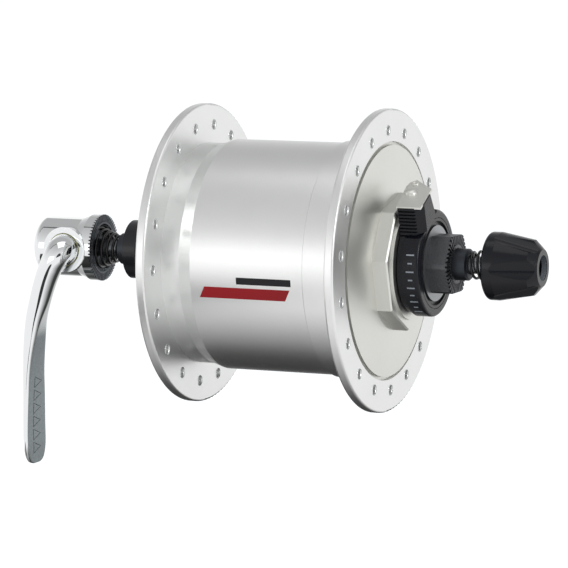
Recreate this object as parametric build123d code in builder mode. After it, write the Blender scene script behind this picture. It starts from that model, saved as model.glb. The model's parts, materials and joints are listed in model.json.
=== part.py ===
from build123d import *
import math
import os

os.makedirs("parts", exist_ok=True)

# A bicycle hub dynamo with its quick release, in millimetres.
# The axle lies along Y, with the lever side at +Y and the wire side at -Y.
# The origin is on the axle's line, midway between the two locknut faces.

# Fits
RUNNING_GAP = 0.05
BODY_GAP = 0.3
OVERRUN = 1.0

# Axle
OVER_LOCKNUTS = 100.0
AXLE_D = 9.0
AXLE_BORE_D = 5.6
STUB_LENGTH = 4.0
STUB_CHAMFER = 0.5
THREAD_D = 8.9
THREAD_RELIEF = 0.2
SEAT_D = 12.0
SEAT_LENGTH = 36.0
GROOVE_WIDTH = 1.6
GROOVE_DEPTH = 1.2
GROOVE_START = 13.4

# Hub shell
FLANGE_D = 86.0
FLANGE_THICKNESS = 2.8
FLANGE_SPACING = 56.4
FLANGE_EDGE_FILLET = 0.6
SPOKE_EDGE = 6.0
SPOKE_CIRCLE_D = FLANGE_D - 2 * SPOKE_EDGE
SPOKES_PER_FLANGE = 18
SPOKE_HOLE_D = 2.6
SPOKE_CHAMFER = 0.25
SPOKE_START_ANGLE = 92.0
BARREL_D = 66.0
BARREL_WALL = 2.0
NECK_D = 63.4
NECK_LENGTH = 5.4
NECK_BEVEL = 4.0
BAND_D = 67.2
BAND_START = 16.8
BAND_STEP = 0.4
BAND_BEVEL_START = 24.2
BAND_FOOT_D = 64.6
CAVITY_END = 20.5
END_WALL = 3.0
DISH_D = 56.0
DISH_MOUTH_D = 60.0
BOSS_D = 31.0

# End cover
COVER_D = 65.6
COVER_LIP_D = 67.6
COVER_GROOVE_DEPTH = 1.0
COVER_SEAT_DEPTH = 2.3
COVER_RIM_RISE = 0.3
COVER_CROWN = 1.8
SPIGOT_LENGTH = 3.8
SPIGOT_WALL = 2.0
COVER_INNER_DEPTH = 28.0
OCTAGON_ROUND_D = 38.8
OCTAGON_SIDES = 8
OCTAGON_TURN = -5.6
OCTAGON_CHAMFER = 0.4
RING_D = 32.6
RING_STEP = 0.7

# Ball bearings, one at each end
BALL_D = 4.762
BALLS = 10
BALL_CIRCLE_D = 17.0
BALL_PLACE = 33.0
RACE_GAP = 0.06
CUP_D = 24.7
CUP_START = 29.8
CUP_LENGTH = 5.8
CUP_MOUTH_D = 21.9
CUP_INNER_D = 18.4
CUP_SHOULDER_D = 20.4
SEAL_START = 35.65
SEAL_THICKNESS = 1.2
SEAL_D = 15.5
BOSS_END = 36.9
RETAINER_START = 34.0
RETAINER_LENGTH = 1.6
RETAINER_INNER_D = 18.2
RETAINER_OUTER_D = 21.3
POCKET_GAP = 0.12
CONE_START = 30.6
CONE_NOSE_D = 12.4
CONE_D = 16.0
CONE_SHOULDER_END = 35.3
CONE_NECK_D = 14.8

# Lever side stack on the axle
LEVER_CONE_END = 41.0
FLATS_LENGTH = 3.0
CONE_ACROSS_FLATS = 13.0
SPACER_D = 14.0
LEVER_NUT_D = 17.0
LEVER_NUT_THICKNESS = 5.0
LEVER_NUT_ROUNDING = 1.2

# Wire side stack on the axle
CONNECTOR_TILT = 27.0
CONNECTOR_D = 30.2
CONNECTOR_START = 37.2
CONNECTOR_NECK_D = 28.4
CONNECTOR_NECK_LENGTH = 1.9
CONNECTOR_THICKNESS = 6.6
CONNECTOR_RIM = 1.6
CONNECTOR_RECESS = 0.8
CONNECTOR_GROOVE = 0.4
CONNECTOR_GROOVE_D = 25.4
CONNECTOR_ROUNDING = 0.8
WASHER_D = 21.4
WASHER_THICKNESS = 0.8
WIRE_NUT_D = 17.8
WIRE_NUT_ACROSS_FLATS = 16.0
NUT_TOOTH_COUNT = 40
NUT_TOOTH_DEPTH = 0.5
NUT_TOOTH_WIDTH = 0.6
NUT_TOOTH_INNER_D = 12.0

# Terminal block and cap
BLOCK_SEAT = 13.0
BLOCK_TOP = 18.6
BLOCK_WIDTH = 8.0
BLOCK_LENGTH = 4.4
TERMINAL_SIZE = 0.9
TERMINAL_SPACING = 3.6
TERMINAL_HEIGHT = 1.4
CAP_TOP = 21.1
CAP_TOP_WIDTH = 10.2
CAP_FOOT_WIDTH = 12.8
CAP_LENGTH = 7.2
CAP_BEVEL = 2.4
CAP_RIBS = 7
CAP_RIB_PITCH = 1.0
CAP_RIB_DEPTH = 0.35
CAP_GAP = 0.15
UPRIGHT_SHARE = 0.9

# Generator
STATOR_LENGTH = 26.0
MAGNET_THICKNESS = 1.7
MAGNET_ARCS = 4
MAGNET_SLOT = 0.8
YOKE_THICKNESS = 1.1
YOKE_LENGTH = 27.0
YOKE_GAP = 0.1
MAGNET_DEPTH = BARREL_WALL + YOKE_GAP + YOKE_THICKNESS + MAGNET_THICKNESS
MAGNET_INNER_D = BARREL_D - 2 * MAGNET_DEPTH
AIR_GAP = 0.5
CLAWS = 14
CLAW_OUTER_D = MAGNET_INNER_D - 2 * AIR_GAP
CLAW_THICKNESS = 2.2
CLAW_WIDTH = 4.2
CLAW_TIP_GAP = 1.0
PLATE_THICKNESS = 2.5
PLATE_EDGE = 1.6
PLATE_D = CLAW_OUTER_D - 2 * PLATE_EDGE
CORE_D = 22.0
BOBBIN_WALL = 1.2
WINDING_GAP = 0.8
BOBBIN_D = CLAW_OUTER_D - 2 * CLAW_THICKNESS - 2 * WINDING_GAP
WINDING_D = BOBBIN_D - 2 * WINDING_GAP
LEAD_D = 1.0
LEAD_HEIGHT = 12.4
LEAD_BEND = 2.2
LEAD_DROP_PLACE = 20.5

# Quick release
ROD_D = 5.0
ROD_END = 71.0
PIVOT_PLACE = 68.0
CAM_THROW = 1.2
CAM_D = 4.8
CAM_SHAFT_D = 9.2
CAM_TAIL_D = 5.0
CAM_TAIL_END = 7.2
CAM_WINDOW = 5.6
EYE_THICKNESS = 4.8
EYE_SLACK = 0.35
EYE_WALL = 1.1
HOUSING_D = 17.5
HOUSING_FACE = 59.8
HOUSING_END = 79.3
HOUSING_FILLET = 3.0
HOUSING_FLAT = 8.3
TOOTH_RING_D = 19.4
TOOTH_RING_INNER_D = 15.0
TOOTH_RING_LENGTH = 3.0
TOOTH_RING_FLARE = 2.6
HOUSING_TEETH = 60
TOOTH_WIDTH = 0.42
TOOTH_DEPTH = 0.5
SPRING_SEAT_D = 14.0
SPRING_SEAT_DEPTH = 2.0
CAM_BOSS_D = 13.2
CAM_BOSS_END = 9.8
BUSH_D = 9.8
BUSH_LENGTH = 3.0

# Cam lever
HEAD_D = 8.6
HEAD_START = 10.2
HEAD_END = 16.8
HEAD_ROUNDING = 3.2
ARM_DROP = 63.8
ARM_LEAN = 10.3
ARM_WIDTH = 12.6
ARM_BACK_RISE = 4.0
ARM_FRONT_RISE = 3.2
BLADE_OFFSET = 7.4

# Springs
WIRE_D = 0.8
LEVER_SPRING_START_R = 3.4
LEVER_SPRING_END_R = 6.1
LEVER_SPRING_TURNS = 4.5
NUT_SPRING_START_R = 3.5
NUT_SPRING_END_R = 4.7
NUT_SPRING_TURNS = 4.0
SPRING_FACE_GAP = 0.05
COIL_TEST_STEP = 0.001
COIL_TEST_POINTS = 400

# Adjusting knob
KNOB_FACE = 59.8
KNOB_COLLAR = 3.4
KNOB_D = 19.2
KNOB_SMALL_D = 15.6
KNOB_SHOULDER = 72.8
KNOB_END = 75.2
KNOB_END_D = 10.4
KNOB_FLUTES = 6
FLUTE_D = 10.0
FLUTE_CENTRE_START = 14.6
FLUTE_CENTRE_END = 10.5
KNOB_SEAT_D = 11.6
KNOB_SEAT_DEPTH = 2.8
KNOB_HOLE_D = 7.2
INSERT_D = 9.6
INSERT_LENGTH = 6.0
INSERT_SIDES = 6
KNOB_FILLET = 1.0

# Places worked out from the sizes above
axle_r = AXLE_D / 2
locknut_face = OVER_LOCKNUTS / 2
stub_end = locknut_face + STUB_LENGTH
flange_mid = FLANGE_SPACING / 2
flange_outer = flange_mid + FLANGE_THICKNESS / 2
flange_inner = flange_mid - FLANGE_THICKNESS / 2
cavity_r = BARREL_D / 2 - BARREL_WALL
cover_seat = flange_outer - COVER_SEAT_DEPTH
octagon_base = flange_outer + COVER_RIM_RISE + COVER_CROWN
octagon_top = BOSS_END - RING_STEP
cup_end = CUP_START + CUP_LENGTH
spoke_pitch = 360 / SPOKES_PER_FLANGE
connector_end = CONNECTOR_START + CONNECTOR_THICKNESS
connector_mid = CONNECTOR_START + CONNECTOR_THICKNESS / 2
washer_start = connector_end - CONNECTOR_RECESS
washer_end = washer_start + WASHER_THICKNESS
plate_inner = STATOR_LENGTH / 2 - PLATE_THICKNESS
claw_length = STATOR_LENGTH - PLATE_THICKNESS - CLAW_TIP_GAP
spring_seat = HOUSING_FACE + SPRING_SEAT_DEPTH
knob_seat = KNOB_FACE + KNOB_SEAT_DEPTH

# The tilted plane holds the wire's groove, the terminal block and its cap.
TILTED = Plane.XY.rotated((0, -CONNECTOR_TILT, 0))


def across(place):
    """A sketch plane across the axle, facing the wire side."""
    return Plane.XZ.offset(-place)


def turned(points, mode=Mode.ADD):
    """A closed outline of radius and place along the axle, turned about the axle."""
    with BuildSketch(Plane.XY) as outline:
        with BuildLine():
            Polyline(*points, close=True)
        make_face()
    revolve(outline.sketch, axis=Axis.Y, mode=mode)


def tube(outer_d, inner_d, start, end, mode=Mode.ADD):
    """A plain ring about the axle from one place to another."""
    inner = inner_d / 2
    outer = outer_d / 2
    turned([(inner, start), (outer, start), (outer, end), (inner, end)], mode)


def ball_groove(side):
    """The track that the balls leave in a race."""
    with BuildSketch(Plane.XY) as track:
        with Locations((BALL_CIRCLE_D / 2, side * BALL_PLACE)):
            Circle(BALL_D / 2 + RACE_GAP)
    revolve(track.sketch, axis=Axis.Y, mode=Mode.SUBTRACT)


def ball_places(side):
    """The centre of each ball of one bearing."""
    places = []
    for number in range(BALLS):
        angle = math.tau * number / BALLS
        x = BALL_CIRCLE_D / 2 * math.cos(angle)
        z = BALL_CIRCLE_D / 2 * math.sin(angle)
        places.append((x, side * BALL_PLACE, z))
    return places


# Hub axle, hollow for the skewer, with a groove for the lead
with BuildPart() as hub_axle:
    turned(
        [
            (AXLE_BORE_D / 2, -stub_end),
            (axle_r - STUB_CHAMFER, -stub_end),
            (axle_r, STUB_CHAMFER - stub_end),
            (axle_r, -locknut_face),
            (THREAD_D / 2, THREAD_RELIEF - locknut_face),
            (THREAD_D / 2, -SEAT_LENGTH / 2),
            (SEAT_D / 2, -SEAT_LENGTH / 2),
            (SEAT_D / 2, SEAT_LENGTH / 2),
            (THREAD_D / 2, SEAT_LENGTH / 2),
            (THREAD_D / 2, locknut_face - THREAD_RELIEF),
            (axle_r, locknut_face),
            (axle_r, stub_end - STUB_CHAMFER),
            (axle_r - STUB_CHAMFER, stub_end),
            (AXLE_BORE_D / 2, stub_end),
        ]
    )
    with BuildSketch(TILTED.offset(axle_r - GROOVE_DEPTH)):
        with Locations((0, -(GROOVE_START + connector_mid) / 2)):
            Rectangle(GROOVE_WIDTH, connector_mid - GROOVE_START)
    extrude(amount=SEAT_D / 2, mode=Mode.SUBTRACT)
hub_axle.part.label = "hub_axle"
export_step(hub_axle.part, "parts/hub_axle.step")

# Hub shell with its two flanges, the barrel and the lever side end wall
with BuildPart() as hub_shell:
    turned(
        [
            (cavity_r, -cover_seat),
            (COVER_LIP_D / 2, -cover_seat),
            (COVER_LIP_D / 2, -flange_outer),
            (FLANGE_D / 2, -flange_outer),
            (FLANGE_D / 2, -flange_inner),
            (BAND_FOOT_D / 2, -flange_inner),
            (BAND_D / 2, -BAND_BEVEL_START),
            (BAND_D / 2, -BAND_START),
            (BARREL_D / 2, BAND_STEP - BAND_START),
            (BARREL_D / 2, flange_inner - NECK_LENGTH - NECK_BEVEL),
            (NECK_D / 2, flange_inner - NECK_LENGTH),
            (NECK_D / 2, flange_inner),
            (FLANGE_D / 2, flange_inner),
            (FLANGE_D / 2, flange_outer),
            (DISH_MOUTH_D / 2, flange_outer),
            (DISH_D / 2, CAVITY_END + END_WALL),
            (BOSS_D / 2, CAVITY_END + END_WALL),
            (BOSS_D / 2, BOSS_END),
            (CUP_D / 2, BOSS_END),
            (CUP_D / 2, CUP_START),
            (CUP_SHOULDER_D / 2, CUP_START),
            (CUP_SHOULDER_D / 2, CAVITY_END),
            (cavity_r, CAVITY_END),
        ]
    )
    rims = hub_shell.edges().filter_by(GeomType.CIRCLE)
    fillet(rims.filter_by(lambda rim: abs(rim.radius - FLANGE_D / 2) < RUNNING_GAP), FLANGE_EDGE_FILLET)
    for side in (1, -1):
        start = SPOKE_START_ANGLE
        if side > 0:
            start = SPOKE_START_ANGLE + spoke_pitch / 2
        with BuildSketch(across(side * flange_mid)):
            with PolarLocations(SPOKE_CIRCLE_D / 2, SPOKES_PER_FLANGE, start_angle=start):
                Circle(SPOKE_HOLE_D / 2)
        extrude(amount=FLANGE_THICKNESS, both=True, mode=Mode.SUBTRACT)
    holes = hub_shell.edges().filter_by(GeomType.CIRCLE)
    chamfer(holes.filter_by(lambda hole: hole.radius < SPOKE_HOLE_D), SPOKE_CHAMFER)
hub_shell.part.label = "hub_shell"
export_step(hub_shell.part, "parts/hub_shell.step")

# End cover on the wire side, with its octagonal boss
with BuildPart() as end_cover:
    turned(
        [
            (CUP_SHOULDER_D / 2, -COVER_INNER_DEPTH),
            (CUP_SHOULDER_D / 2, -BOSS_END),
            (RING_D / 2, -BOSS_END),
            (RING_D / 2, -octagon_base),
            (OCTAGON_ROUND_D / 2, -octagon_base),
            (COVER_D / 2, -flange_outer - COVER_RIM_RISE),
            (COVER_D / 2, COVER_GROOVE_DEPTH - flange_outer),
            (COVER_LIP_D / 2 - RUNNING_GAP, COVER_GROOVE_DEPTH - flange_outer),
            (COVER_LIP_D / 2 - RUNNING_GAP, -cover_seat),
            (cavity_r - RUNNING_GAP, -cover_seat),
            (cavity_r - RUNNING_GAP, SPIGOT_LENGTH - cover_seat),
            (cavity_r - SPIGOT_WALL, SPIGOT_LENGTH - cover_seat),
            (cavity_r - SPIGOT_WALL, -cover_seat),
            (BOSS_D / 2, -COVER_INNER_DEPTH),
        ]
    )
    with BuildSketch(across(-octagon_base + OVERRUN)):
        RegularPolygon(OCTAGON_ROUND_D / 2, OCTAGON_SIDES, rotation=OCTAGON_TURN)
    extrude(amount=octagon_top - octagon_base + OVERRUN)
    corners = end_cover.edges().filter_by(GeomType.LINE)
    chamfer(
        corners.filter_by_position(Axis.Y, -octagon_top - RUNNING_GAP, -octagon_top + RUNNING_GAP),
        OCTAGON_CHAMFER,
    )
    tube(CUP_D, 0, -CUP_START, -BOSS_END - OVERRUN, Mode.SUBTRACT)
end_cover.part.label = "end_cover"
export_step(end_cover.part, "parts/end_cover.step")

# The two bearings: cup and seal on the shell, cone on the axle, balls in a retainer between
for side_name, side in (("lever_side", 1), ("wire_side", -1)):
    cone_end = LEVER_CONE_END if side > 0 else CONNECTOR_START
    flats_length = FLATS_LENGTH if side > 0 else 0

    with BuildPart() as cup:
        turned(
            [
                (CUP_INNER_D / 2, side * CUP_START),
                (CUP_D / 2 - RUNNING_GAP, side * CUP_START),
                (CUP_D / 2 - RUNNING_GAP, side * cup_end),
                (CUP_MOUTH_D / 2, side * cup_end),
                (CUP_MOUTH_D / 2, side * BALL_PLACE),
                (CUP_INNER_D / 2, side * BALL_PLACE),
            ]
        )
        ball_groove(side)
    cup.part.label = f"{side_name}_bearing_cup"
    export_step(cup.part, f"parts/{side_name}_bearing_cup.step")

    with BuildPart() as cone:
        turned(
            [
                (axle_r + RUNNING_GAP, side * CONE_START),
                (CONE_NOSE_D / 2, side * CONE_START),
                (CONE_NOSE_D / 2, side * BALL_PLACE),
                (CONE_D / 2, side * BALL_PLACE),
                (CONE_D / 2, side * CONE_SHOULDER_END),
                (CONE_NECK_D / 2, side * CONE_SHOULDER_END),
                (CONE_NECK_D / 2, side * cone_end),
                (axle_r + RUNNING_GAP, side * cone_end),
            ]
        )
        ball_groove(side)
        if flats_length:
            with BuildSketch(across(side * cone_end)):
                Rectangle(CONE_NECK_D + OVERRUN, CONE_NECK_D + OVERRUN)
                Rectangle(CONE_NECK_D + OVERRUN, CONE_ACROSS_FLATS, mode=Mode.SUBTRACT)
            extrude(amount=side * flats_length, mode=Mode.SUBTRACT)
    cone.part.label = f"{side_name}_cone"
    export_step(cone.part, f"parts/{side_name}_cone.step")

    with BuildPart() as seal:
        tube(CUP_D - 2 * RUNNING_GAP, SEAL_D, side * SEAL_START, side * (SEAL_START + SEAL_THICKNESS))
    seal.part.label = f"{side_name}_seal"
    export_step(seal.part, f"parts/{side_name}_seal.step")

    with BuildPart() as balls:
        with Locations(*ball_places(side)):
            Sphere(BALL_D / 2)
    balls.part.label = f"{side_name}_balls"
    export_step(balls.part, f"parts/{side_name}_balls.step")

    with BuildPart() as retainer:
        tube(
            RETAINER_OUTER_D,
            RETAINER_INNER_D,
            side * RETAINER_START,
            side * (RETAINER_START + RETAINER_LENGTH),
        )
        with Locations(*ball_places(side)):
            Sphere(BALL_D / 2 + POCKET_GAP, mode=Mode.SUBTRACT)
    retainer.part.label = f"{side_name}_ball_retainer"
    export_step(retainer.part, f"parts/{side_name}_ball_retainer.step")

# Lever side spacer and round locknut
with BuildPart() as lever_side_spacer:
    tube(SPACER_D, AXLE_D + 2 * RUNNING_GAP, LEVER_CONE_END, locknut_face - LEVER_NUT_THICKNESS)
lever_side_spacer.part.label = "lever_side_spacer"
export_step(lever_side_spacer.part, "parts/lever_side_spacer.step")

with BuildPart() as lever_side_locknut:
    tube(LEVER_NUT_D, AXLE_D + 2 * RUNNING_GAP, locknut_face - LEVER_NUT_THICKNESS, locknut_face)
    nut_rims = lever_side_locknut.edges().filter_by(GeomType.CIRCLE)
    nut_rims = nut_rims.filter_by(lambda rim: rim.radius > AXLE_D / 2 + THREAD_RELIEF)
    fillet(nut_rims.sort_by(Axis.Y)[0], LEVER_NUT_ROUNDING)
lever_side_locknut.part.label = "lever_side_locknut"
export_step(lever_side_locknut.part, "parts/lever_side_locknut.step")

# Round connector body that the cap plugs onto
with BuildPart() as connector_body:
    tube(CONNECTOR_NECK_D, AXLE_D + 2 * RUNNING_GAP, -CONNECTOR_START, -connector_end)
    tube(CONNECTOR_D, AXLE_D + 2 * RUNNING_GAP, -CONNECTOR_START - CONNECTOR_NECK_LENGTH, -connector_end)
    body_rims = connector_body.edges().filter_by(GeomType.CIRCLE)
    body_rims = body_rims.filter_by(lambda rim: rim.radius > CONNECTOR_D / 2 - RUNNING_GAP)
    fillet(body_rims.sort_by(Axis.Y)[0], CONNECTOR_ROUNDING)
    tube(
        CONNECTOR_D - 4 * CONNECTOR_RIM,
        AXLE_D,
        -washer_start,
        -connector_end - OVERRUN,
        Mode.SUBTRACT,
    )
    tube(
        CONNECTOR_GROOVE_D + CONNECTOR_GROOVE,
        CONNECTOR_GROOVE_D,
        -connector_end + CONNECTOR_GROOVE,
        -connector_end - OVERRUN,
        Mode.SUBTRACT,
    )
    with BuildSketch(TILTED.offset(BLOCK_SEAT)):
        with Locations((0, -connector_mid)):
            Rectangle(CONNECTOR_D, CONNECTOR_THICKNESS + 2 * OVERRUN)
    extrude(amount=CONNECTOR_D / 2, mode=Mode.SUBTRACT)
    with BuildSketch(TILTED.offset(BLOCK_SEAT - OVERRUN)):
        with Locations((0, -connector_mid)):
            Rectangle(BLOCK_WIDTH, BLOCK_LENGTH)
    extrude(amount=BLOCK_TOP - BLOCK_SEAT + OVERRUN)
    with BuildSketch(TILTED.offset(BLOCK_TOP - TERMINAL_HEIGHT)):
        with Locations((0, -connector_mid)):
            with GridLocations(TERMINAL_SPACING, 0, 2, 1):
                Rectangle(TERMINAL_SIZE, TERMINAL_SIZE)
    extrude(amount=TERMINAL_HEIGHT, mode=Mode.SUBTRACT)
    with BuildSketch(TILTED):
        with Locations((0, LEAD_BEND / 2 - connector_mid)):
            Rectangle(GROOVE_WIDTH, GROOVE_WIDTH + LEAD_BEND)
    extrude(amount=LEAD_HEIGHT - OVERRUN, mode=Mode.SUBTRACT)
connector_body.part.label = "connector_body"
export_step(connector_body.part, "parts/connector_body.step")

# Two contacts that stand in the terminal block
with BuildPart() as terminal_contacts:
    with BuildSketch(TILTED.offset(BLOCK_TOP - TERMINAL_HEIGHT)):
        with Locations((0, -connector_mid)):
            with GridLocations(TERMINAL_SPACING, 0, 2, 1):
                Rectangle(TERMINAL_SIZE - 2 * RUNNING_GAP, TERMINAL_SIZE - 2 * RUNNING_GAP)
    extrude(amount=TERMINAL_HEIGHT + BODY_GAP)
terminal_contacts.part.label = "terminal_contacts"
export_step(terminal_contacts.part, "parts/terminal_contacts.step")

# Cap with ribbed sides that pushes on over the terminal block
with BuildPart() as connector_cap:
    cap_mid = -CONNECTOR_START - CAP_LENGTH / 2 - RUNNING_GAP
    cap_foot = BLOCK_SEAT + CAP_GAP
    cap_height = CAP_TOP - cap_foot
    with BuildSketch(TILTED.offset(cap_foot)):
        with Locations((0, cap_mid)):
            Rectangle(CAP_FOOT_WIDTH, CAP_LENGTH)
    with BuildSketch(TILTED.offset(CAP_TOP)):
        with Locations((0, cap_mid)):
            Rectangle(CAP_TOP_WIDTH, CAP_LENGTH)
    loft()
    uprights = connector_cap.edges().filter_by(
        lambda edge: abs(edge.tangent_at(0).dot(TILTED.z_dir)) > UPRIGHT_SHARE
    )
    chamfer(uprights.sort_by(Axis.Y)[:2], CAP_BEVEL)
    for flank in (1, -1):
        for rib in range(CAP_RIBS):
            height = cap_foot + CAP_RIB_PITCH * (rib + 1)
            rise_share = (height - cap_foot) / cap_height
            half_width = (CAP_FOOT_WIDTH + (CAP_TOP_WIDTH - CAP_FOOT_WIDTH) * rise_share) / 2
            with BuildSketch(TILTED.offset(height - CAP_RIB_PITCH / 4)):
                with Locations((flank * half_width, cap_mid)):
                    Rectangle(2 * CAP_RIB_DEPTH, CAP_LENGTH + OVERRUN)
            extrude(amount=CAP_RIB_PITCH / 2, mode=Mode.SUBTRACT)
    with BuildSketch(TILTED.offset(cap_foot)):
        with Locations((0, -connector_mid)):
            Rectangle(BLOCK_WIDTH + 2 * CAP_GAP, BLOCK_LENGTH + 2 * CAP_GAP)
    extrude(amount=BLOCK_TOP + 2 * BODY_GAP - cap_foot, mode=Mode.SUBTRACT)
connector_cap.part.label = "connector_cap"
export_step(connector_cap.part, "parts/connector_cap.step")

# Washer under the wire side locknut, with flattened flanks
with BuildPart() as wire_side_washer:
    tube(WASHER_D, AXLE_D + 2 * RUNNING_GAP, -washer_start, -washer_end)
wire_side_washer.part.label = "wire_side_washer"
export_step(wire_side_washer.part, "parts/wire_side_washer.step")

# Wire side locknut, a rounded hexagon with a toothed face
with BuildPart() as wire_side_locknut:
    with BuildSketch(across(-washer_end)):
        RegularPolygon(WIRE_NUT_ACROSS_FLATS / 2, 6, major_radius=False)
        Circle(WIRE_NUT_D / 2, mode=Mode.INTERSECT)
        Circle(axle_r + RUNNING_GAP, mode=Mode.SUBTRACT)
    extrude(amount=locknut_face - washer_end)
    with BuildSketch(across(NUT_TOOTH_DEPTH - locknut_face)):
        with PolarLocations((WIRE_NUT_D + NUT_TOOTH_INNER_D) / 4, NUT_TOOTH_COUNT):
            Rectangle((WIRE_NUT_D - NUT_TOOTH_INNER_D) / 2 + OVERRUN, NUT_TOOTH_WIDTH)
    extrude(amount=NUT_TOOTH_DEPTH + OVERRUN, mode=Mode.SUBTRACT)
wire_side_locknut.part.label = "wire_side_locknut"
export_step(wire_side_locknut.part, "parts/wire_side_locknut.step")

# Stator: core, two claw plates, bobbin and winding
with BuildPart() as stator_core:
    tube(CORE_D, SEAT_D + 2 * RUNNING_GAP, -plate_inner, plate_inner)
stator_core.part.label = "stator_core"
export_step(stator_core.part, "parts/stator_core.step")

for side_name, side in (("lever_side", 1), ("wire_side", -1)):
    with BuildPart() as claw_plate:
        tube(PLATE_D, SEAT_D + 2 * RUNNING_GAP, side * plate_inner, side * STATOR_LENGTH / 2)
        claw_start = 0 if side > 0 else 180 / CLAWS
        with BuildSketch(across(side * STATOR_LENGTH / 2)):
            with PolarLocations((CLAW_OUTER_D - CLAW_THICKNESS) / 2, CLAWS, start_angle=claw_start):
                Rectangle(CLAW_THICKNESS, CLAW_WIDTH)
        extrude(amount=side * claw_length)
        if side < 0:
            with BuildSketch(TILTED):
                with Locations((0, -STATOR_LENGTH / 2)):
                    Rectangle(GROOVE_WIDTH, 4 * PLATE_THICKNESS)
            extrude(amount=LEAD_HEIGHT + LEAD_D, mode=Mode.SUBTRACT)
    claw_plate.part.label = f"{side_name}_claw_plate"
    export_step(claw_plate.part, f"parts/{side_name}_claw_plate.step")

with BuildPart() as coil_bobbin:
    bobbin_bore = CORE_D / 2 + RUNNING_GAP
    turned(
        [
            (bobbin_bore, -plate_inner),
            (BOBBIN_D / 2, -plate_inner),
            (BOBBIN_D / 2, BOBBIN_WALL - plate_inner),
            (bobbin_bore + BOBBIN_WALL, BOBBIN_WALL - plate_inner),
            (bobbin_bore + BOBBIN_WALL, plate_inner - BOBBIN_WALL),
            (BOBBIN_D / 2, plate_inner - BOBBIN_WALL),
            (BOBBIN_D / 2, plate_inner),
            (bobbin_bore, plate_inner),
        ]
    )
coil_bobbin.part.label = "coil_bobbin"
export_step(coil_bobbin.part, "parts/coil_bobbin.step")

with BuildPart() as coil_winding:
    winding_end = plate_inner - BOBBIN_WALL
    tube(WINDING_D, CORE_D + 2 * BOBBIN_WALL + 4 * RUNNING_GAP, -winding_end, winding_end)
coil_winding.part.label = "coil_winding"
export_step(coil_winding.part, "parts/coil_winding.step")

# Lead from the winding through the axle's groove into the connector
with BuildPart() as lead_wire:
    groove_height = axle_r - GROOVE_DEPTH + LEAD_D / 2 + RUNNING_GAP
    lead_plane = Plane(origin=(0, 0, 0), x_dir=(0, -1, 0), z_dir=-TILTED.x_dir)
    rise = 1 if lead_plane.y_dir.dot(TILTED.z_dir) > 0 else -1
    with BuildLine(lead_plane) as lead_path:
        FilletPolyline(
            (plate_inner, rise * LEAD_HEIGHT),
            (LEAD_DROP_PLACE, rise * LEAD_HEIGHT),
            (LEAD_DROP_PLACE, rise * groove_height),
            (connector_mid, rise * groove_height),
            (connector_mid, rise * (LEAD_HEIGHT - OVERRUN - RUNNING_GAP)),
            radius=LEAD_BEND,
        )
    with BuildSketch(Plane(origin=lead_path.line @ 0, z_dir=lead_path.line % 0)):
        Circle(LEAD_D / 2)
    sweep(path=lead_path.line)
lead_wire.part.label = "lead_wire"
export_step(lead_wire.part, "parts/lead_wire.step")

# Rotor: steel yoke and magnet arcs inside the barrel
with BuildPart() as yoke_ring:
    yoke_d = 2 * (cavity_r - RUNNING_GAP)
    tube(yoke_d, yoke_d - 2 * YOKE_THICKNESS, -YOKE_LENGTH / 2, YOKE_LENGTH / 2)
yoke_ring.part.label = "yoke_ring"
export_step(yoke_ring.part, "parts/yoke_ring.step")

with BuildPart() as rotor_magnets:
    tube(MAGNET_INNER_D + 2 * MAGNET_THICKNESS, MAGNET_INNER_D, -STATOR_LENGTH / 2, STATOR_LENGTH / 2)
    with BuildSketch(across(STATOR_LENGTH / 2 + OVERRUN)):
        with PolarLocations(MAGNET_INNER_D / 2, MAGNET_ARCS):
            Rectangle(4 * MAGNET_THICKNESS, MAGNET_SLOT)
    extrude(amount=STATOR_LENGTH + 2 * OVERRUN, mode=Mode.SUBTRACT)
rotor_magnets.part.label = "rotor_magnets"
export_step(rotor_magnets.part, "parts/rotor_magnets.step")

# Skewer rod with the slotted eye that the cam works in
with BuildPart() as skewer_rod:
    eye_half_y = CAM_D / 2 + EYE_SLACK
    eye_half_z = CAM_D / 2 + CAM_THROW + EYE_SLACK / 2
    eye_centre = PIVOT_PLACE + CAM_THROW
    with BuildSketch(across(-ROD_END)):
        Circle(ROD_D / 2)
    extrude(amount=-(ROD_END + eye_centre - eye_half_y))
    with BuildSketch(Plane.YZ.offset(-EYE_THICKNESS / 2)):
        with Locations((eye_centre, 0)):
            RectangleRounded(
                2 * (eye_half_y + EYE_WALL),
                2 * (eye_half_z + EYE_WALL),
                eye_half_y,
            )
    extrude(amount=EYE_THICKNESS)
    with BuildSketch(Plane.YZ.offset(-EYE_THICKNESS / 2 - OVERRUN)):
        with Locations((eye_centre, 0)):
            RectangleRounded(2 * eye_half_y, 2 * eye_half_z, eye_half_y - EYE_SLACK)
    extrude(amount=EYE_THICKNESS + 2 * OVERRUN, mode=Mode.SUBTRACT)
skewer_rod.part.label = "skewer_rod"
export_step(skewer_rod.part, "parts/skewer_rod.step")

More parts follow.
